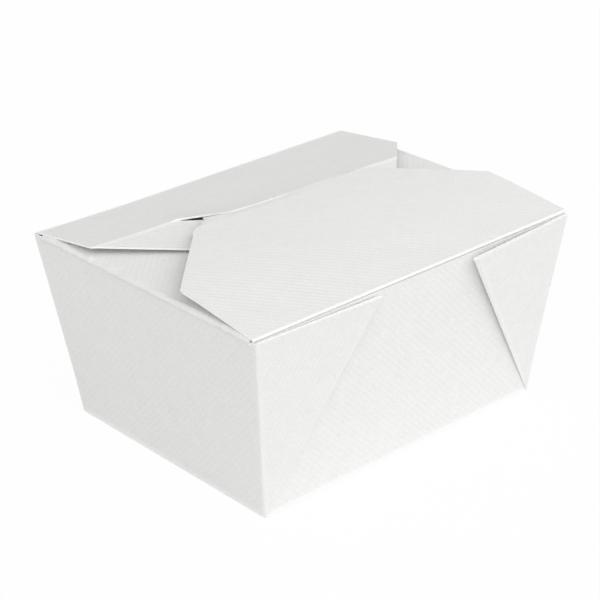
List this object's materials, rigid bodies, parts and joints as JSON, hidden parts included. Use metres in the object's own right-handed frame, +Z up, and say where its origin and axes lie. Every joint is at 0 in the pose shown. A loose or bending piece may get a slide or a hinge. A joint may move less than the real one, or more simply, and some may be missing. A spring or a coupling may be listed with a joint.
{
  "type": "takeout food box",
  "caption": "White corrugated board takeout box with flared walls, folded outside corners, tucked back flap and a hinged front lid flap that locks with a tongue.",
  "frame": {"origin": "centre of the base on its underside, the face the box stands on", "axes": "+X along the long side, +Y towards the back wall, +Z up; the lid flap that opens first is hinged along the top of the -Y wall"},
  "size_m": [0.13, 0.1114, 0.0703],
  "materials": {
    "board": "uncoated white thin corrugated board, fine slanted ribs, matte"
  },
  "bodies": {
    "box": {"carton": "board"},
    "front_lid": {"front_lid_flap": "board"}
  },
  "joints": [
    {"name": "front_lid_hinge", "type": "hinge", "parent": "box", "child": "front_lid", "pos_m": [0, -0.05165, 0.0642], "axis": [1, 0, 0], "range_deg": [0, 150]}
  ]
}
